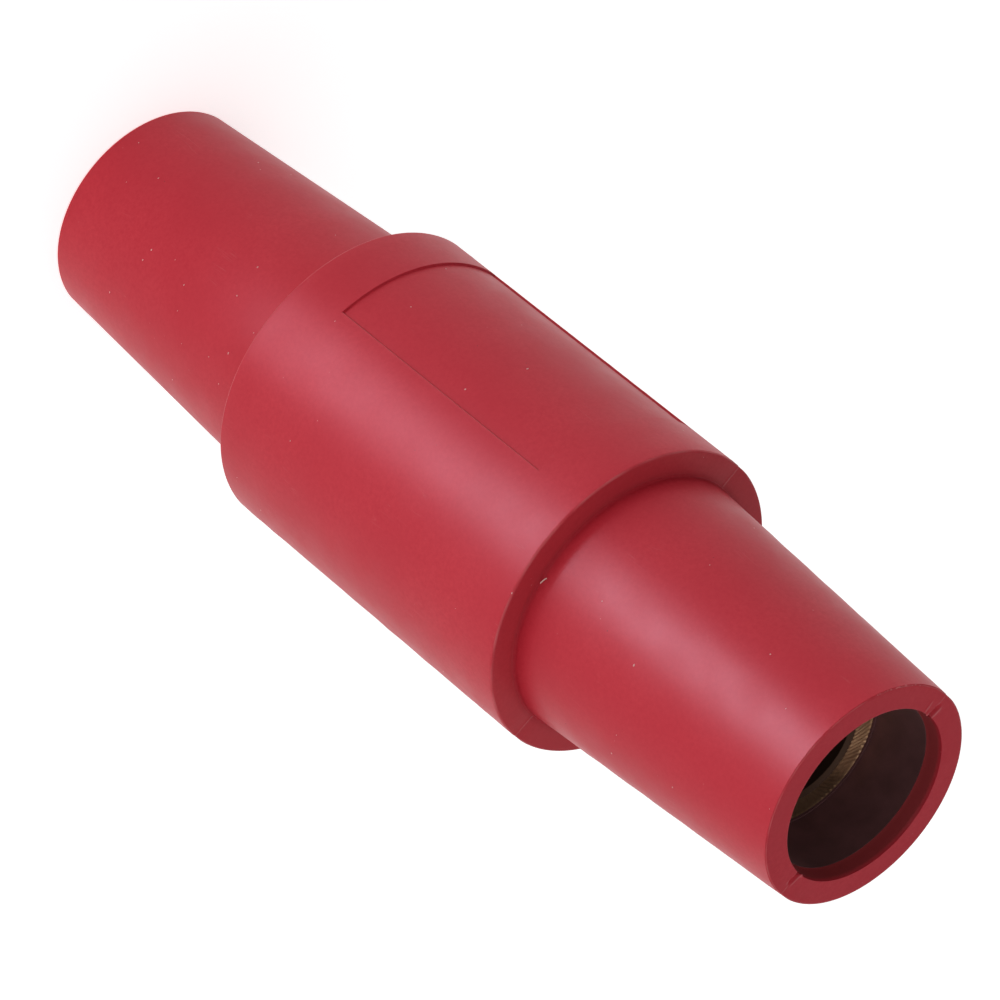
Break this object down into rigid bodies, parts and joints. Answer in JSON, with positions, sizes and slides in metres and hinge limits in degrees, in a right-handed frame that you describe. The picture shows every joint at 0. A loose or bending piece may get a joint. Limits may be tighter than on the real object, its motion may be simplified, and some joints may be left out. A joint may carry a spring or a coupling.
{
  "type": "single-pole cam-lock coupler",
  "caption": "Female-to-female single-pole cam-lock power coupler: red rubber sleeve with a straight barrel, tapered nozzles and dark-lined mouths around a brass contact.",
  "frame": {"origin": "centre of the bottom end face, on which the coupler stands", "axes": "+Z along the coupler's axis to the top mouth, -Y towards the picture's camera, the cam pins on the +Y side of the axis"},
  "size_m": [0.0445, 0.0444, 0.1476],
  "materials": {
    "red_rubber": "satin moulded rubber, red all through",
    "turned_brass": "bare turned brass with tool marks",
    "pin_steel": "ground steel dowel",
    "dark_liner": "dull brown-black insulating tube"
  },
  "bodies": {
    "root": {"insulator_sleeve": "red_rubber", "contact_barrel": "turned_brass", "top_cam_pin": "pin_steel", "bottom_cam_pin": "pin_steel", "top_liner": "dark_liner", "bottom_liner": "dark_liner"}
  },
  "joints": []
}
